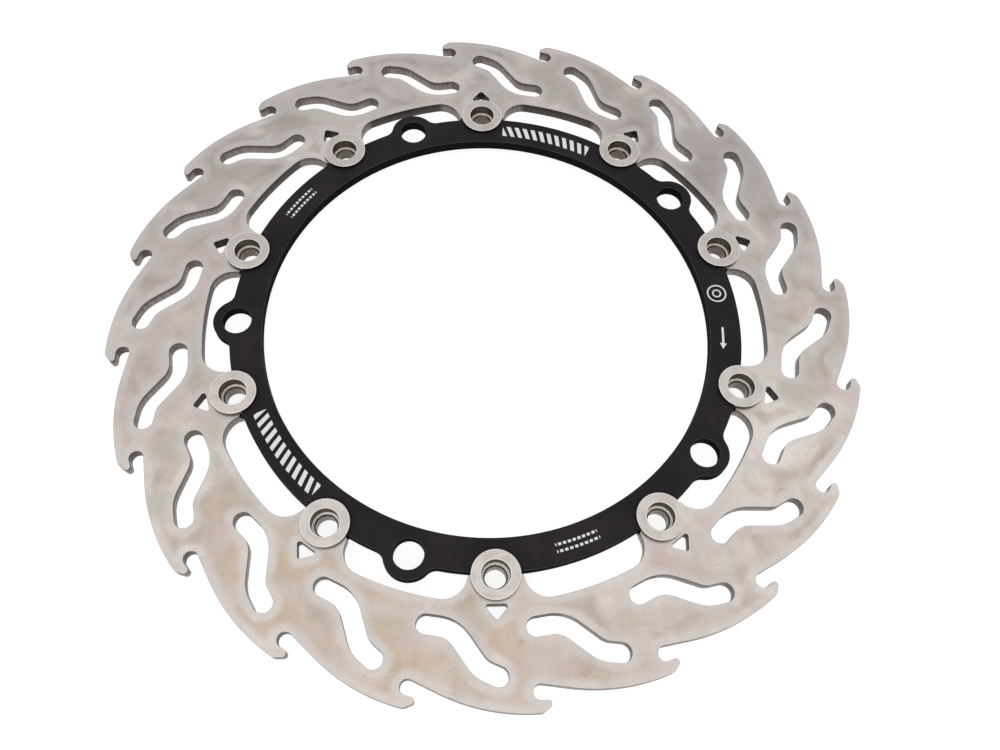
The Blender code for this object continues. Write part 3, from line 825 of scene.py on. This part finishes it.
def bobbin_steel():
    """Turned steel: pale on the flange, with painted light on its near side, painted highlights on its rims
    and the ledge, and painted shade on its sides and deep in the bore.
    """
    steel = Finish("bobbin_steel", Metallic=1.0)
    x, y, z = steel.parts(steel.attribute("own_place", "Vector"))
    radius = span(x, y)
    top = BOBBIN_HIGH.z / MM
    ledge = top - COUNTERBORE_DEPTH / MM
    rim, bore, hole = FLANGE_RADIUS / MM, COUNTERBORE_RADIUS / MM, LEDGE_INNER / MM
    near_light = steel.parts(steel.place)[1].ramp(110, -110)
    rings = steel.turning_rings(radius, z, 4.5, 4.0, 0.65)
    cloud = steel.noise(steel.place, 0.16, detail=3)
    shadow = steel.noise(steel.vector("ADD", steel.place, (37.0, 0.0, 0.0)), 0.2, detail=3)
    # Painted highlights: a pale ring round the flange's rim and round the bore's mouth.
    edges = radius.ramp(rim - 0.55, rim - 0.2).most(radius.ramp(bore + 0.5, bore + 0.25))
    bored = radius.ramp(bore + 0.1, bore + 0.14, 1.0, 0.0)
    below = z.ramp(top - 0.16, top - 0.06, 1.0, 0.0)
    # Painted light: the flange is brighter towards the near side.
    outside = steel.layered(steel.mix(near_light, tone(186, 181, 177), tone(211, 206, 201)), [
        (rings.ramp(0.3, 0.7, 0.35, 0.0), tone(176, 171, 166)),
        (cloud.ramp(0.4, 0.65, 0.0, 0.5), tone(210, 199, 192)),
        (shadow.ramp(0.4, 0.7, 0.0, 0.5), tone(174, 168, 165)),
        (edges * cloud.ramp(0.3, 0.6, 0.45, 0.9), tone(226, 222, 216)),
        # Painted shade on the flange's side and the body below it.
        (below * (1.0 - bored), tone(86, 79, 73)),
    ])
    # The counterbore is banded like its turned grooves, with painted shade that darkens its lower part and
    # the bore below the ledge.
    threads = (z * 2.2 + cloud * 1.5) % 1.0
    deep = steel.mix((z * 1.7 + cloud) % 1.0, tone(84, 75, 68), tone(118, 108, 100))
    grooved = steel.mix(threads.between(0.2, 0.7, 0.15), tone(66, 60, 53), tone(128, 122, 109))
    cavity = steel.layered(grooved, [
        (z.ramp(ledge + 2.2, ledge + 1.2), tone(104, 94, 84)),
        # Painted highlight: a near-white ring on the ledge.
        (z.ramp(ledge + 0.14, ledge + 0.06), tone(240, 236, 228)),
        (radius.ramp(hole + 0.05, hole - 0.1), deep),
    ])
    step = bored * z.between(ledge - 0.1, ledge + 0.1, 0.06)
    steel.paint("Base Color", steel.mix(below * bored, outside, cavity))
    steel.paint("Metallic", 1.0 - step * 0.75)
    steel.paint("Roughness", rings.ramp(0.3, 0.7, 0.28, 0.4) + step * 0.15)
    steel.bump(rings, 0.005 * MM, 0.7)
    return steel.material


def circlip_steel():
    """Phosphated spring steel: nearly black, dry, with paler rubbed edges."""
    steel = Finish("circlip_steel", Metallic=0.85)
    grain = steel.noise(steel.place, 3.5, detail=4, roughness=0.7)
    wall = steel.attribute("cut_wall")
    color = steel.mix(grain.ramp(0.35, 0.65), tone(60, 57, 54), tone(84, 80, 75))
    color = steel.mix(wall.between(0.1, 0.8, 0.1) * 0.7, color, tone(140, 134, 126))
    steel.paint("Base Color", color)
    steel.paint("Roughness", grain.ramp(0.3, 0.7, 0.4, 0.6))
    steel.bump(grain, 0.006 * MM, 0.7)
    return steel.material


# ---- Pieces ---------------------------------------------------------------------------------------

def fit(piece, node, body, material):
    """Puts a finished piece in a solid's place: it moves with its body and takes the given finish."""
    piece.data.materials.append(material)
    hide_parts(node)
    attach(piece, body)


def make_ring():
    outlines = ring_outlines()
    piece = plate("ground_ring", outlines, RING_LOW.z, RING_HIGH.z, RING_BREAK, FACE_GRID)
    fit(piece, "friction_ring", "friction_ring", ring_steel())


def make_carrier():
    outlines = carrier_outlines()
    piece = plate("black_carrier", outlines, CARRIER_LOW.z, CARRIER_HIGH.z, CARRIER_BREAK)
    fit(piece, "carrier", "carrier", carrier_black())


def bobbin_profile():
    """From the bore's lower end: the tail, the groove, the body, the flange and the grooved counterbore.

    Each corner is (radius, height, radius of its rounding in millimetres).
    """
    top, tail = BOBBIN_HIGH.z, BOBBIN_LOW.z
    groove_bottom, groove_top = CLIP_LOW.z - GROOVE_PLAY, FLAT_LOW.z
    flange_bottom = top - FLANGE_THICKNESS
    ledge = top - COUNTERBORE_DEPTH
    corners = [
        (BORE_RADIUS, tail, 0.15), (BODY_RADIUS, tail, 0.2),
        (BODY_RADIUS, groove_bottom, 0.08), (GROOVE_RADIUS, groove_bottom, 0.08),
        (GROOVE_RADIUS, groove_top, 0.08), (BODY_RADIUS, groove_top, 0.08),
        (BODY_RADIUS, flange_bottom, 0.1), (FLANGE_RADIUS, flange_bottom, 0.08),
        (FLANGE_RADIUS, top, 0.1), (COUNTERBORE_RADIUS, top, 0.1),
    ]
    pitch = (COUNTERBORE_DEPTH - CUT_MARGIN) / CUT_COUNT
    for index in range(CUT_COUNT):
        start = top - CUT_START - index * pitch
        corners += [
            (COUNTERBORE_RADIUS, start, 0.05),
            (COUNTERBORE_RADIUS + CUT_DEPTH, start - 0.3 * pitch, 0.05),
            (COUNTERBORE_RADIUS, start - 0.6 * pitch, 0.05),
        ]
    corners += [
        (COUNTERBORE_RADIUS, ledge, 0.15), (LEDGE_INNER, ledge, 0.06),
        (BORE_RADIUS, ledge - LEDGE_BEVEL * (LEDGE_INNER - BORE_RADIUS), 0.1),
    ]
    corners = np.array(corners)
    return rounded(corners[:, :2], corners[:, 2] * MM, steps=3)


def washer_profile(bottom, top, corner):
    """A washer's section, from its inner lower corner."""
    corners = [(WASHER_INNER, bottom), (WASHER_RADIUS, bottom), (WASHER_RADIUS, top), (WASHER_INNER, top)]
    return rounded(corners, corner)


def make_drive_sets():
    """Ten sets of a bobbin, a wave washer, a flat washer and a circlip, each set on its own axis."""
    swing = (WAVE_HIGH.z - WAVE_LOW.z - WAVE_SHEET) / 2
    wave_middle = WAVE_LOW.z + swing
    bobbin = bobbin_profile()
    wave = washer_profile(wave_middle, wave_middle + WAVE_SHEET, WAVE_CORNER)
    flat = washer_profile(FLAT_LOW.z, FLAT_HIGH.z, WASHER_CORNER)
    clip = clip_outlines()
    finishes = {
        "bobbin": bobbin_steel(),
        "wave_washer": turned_steel("wave_washer_steel", tone(178, 175, 171), tone(140, 136, 131), 0.3),
        "flat_washer": turned_steel("flat_washer_steel", tone(200, 197, 192), tone(168, 163, 157), 0.36),
        "circlip": circlip_steel(),
    }

    def waved(turn):
        """How far the wave washer rises at an angle round it."""
        return swing * np.cos(WAVE_COUNT * turn)

    for index in range(BOBBIN_COUNT):
        angle = index * 360 / BOBBIN_COUNT
        number = f"{index + 1:02d}"
        pieces = {
            "bobbin": turned(f"turned_bobbin_{number}", bobbin, angle),
            "wave_washer": turned(f"spring_washer_{number}", wave, angle, waved),
            "flat_washer": turned(f"plain_washer_{number}", flat, angle),
            "circlip": plate(f"snap_ring_{number}", clip, CLIP_LOW.z, CLIP_HIGH.z, CLIP_BREAK, angle=angle),
        }
        for kind, piece in pieces.items():
            fit(piece, f"{kind}_{number}", f"drive_set_{number}", finishes[kind])


# ---- Room, light and camera -----------------------------------------------------------------------

def glowing(name, color, strength, base):
    """A plain surface that gives off its own even light."""
    material = bpy.data.materials.new(name)
    material.use_nodes = True
    shader = material.node_tree.nodes["Principled BSDF"]
    shader.inputs["Base Color"].default_value = (base, base, base, 1.0)
    shader.inputs["Roughness"].default_value = 0.9
    shader.inputs["Emission Color"].default_value = color
    shader.inputs["Emission Strength"].default_value = strength
    return material


def make_floor():
    """A wide pale square just under the bobbins' tails."""
    reach = 3.0
    level = BOBBIN_LOW.z - 0.3 * MM
    corners = [(-reach, -reach), (reach, -reach), (reach, reach), (-reach, reach)]
    points = np.array([(x, y, level) for x, y in corners])
    floor = new_piece("pale_floor", points, np.array([[0, 1, 2, 3]]), NO_TRIANGLES)
    floor.data.materials.append(glowing("pale_floor", (1.0, 1.0, 1.0, 1.0), 0.85, 0.3))


def make_sky():
    """An even studio sky: brightest overhead, greyer towards the horizon."""
    world = bpy.data.worlds.new("studio")
    bpy.context.scene.world = world
    world.use_nodes = True
    nodes, links = world.node_tree.nodes, world.node_tree.links
    direction = nodes.new("ShaderNodeTexCoord")
    split = nodes.new("ShaderNodeSeparateXYZ")
    ramp = nodes.new("ShaderNodeValToRGB")
    ramp.color_ramp.elements[0].position = 0.0
    ramp.color_ramp.elements[0].color = (0.55, 0.56, 0.575, 1.0)
    ramp.color_ramp.elements[1].position = 1.0
    ramp.color_ramp.elements[1].color = (1.0, 0.99, 0.975, 1.0)
    links.new(direction.outputs["Generated"], split.inputs[0])
    links.new(split.outputs["Z"], ramp.inputs["Fac"])
    links.new(ramp.outputs["Color"], nodes["Background"].inputs["Color"])
    nodes["Background"].inputs["Strength"].default_value = 1.1


def make_lamp(name, place, aim, size, power):
    """A square soft light at a place, facing a point."""
    light = bpy.data.lights.new(name, "AREA")
    light.size = size
    light.energy = power
    lamp = bpy.data.objects.new(name, light)
    bpy.context.scene.collection.objects.link(lamp)
    lamp.location = place
    lamp.rotation_euler = (Vector(aim) - Vector(place)).to_track_quat("-Z", "Y").to_euler()


def make_camera():
    """A camera above the near side, looking down on the disc."""
    camera = bpy.data.cameras.new("camera")
    camera.lens = 32.94
    camera.sensor_width = 36.0
    camera.shift_x = 0.00427
    camera.shift_y = -0.01854
    camera.clip_start = 0.01
    viewer = bpy.data.objects.new("camera", camera)
    bpy.context.scene.collection.objects.link(viewer)
    viewer.location = (-0.01509, -0.17976, RING_HIGH.z + 0.32843)
    viewer.rotation_euler = [math.radians(angle) for angle in (26.342, -2.224, -1.751)]
    bpy.context.scene.camera = viewer


make_ring()
make_carrier()
make_drive_sets()
make_floor()
make_sky()
make_lamp("soft_key", (-0.35, -0.85, 1.0), (0.0, 0.0, 0.0), 0.8, 4.0)
make_camera()
bpy.context.scene.view_settings.view_transform = "Standard"
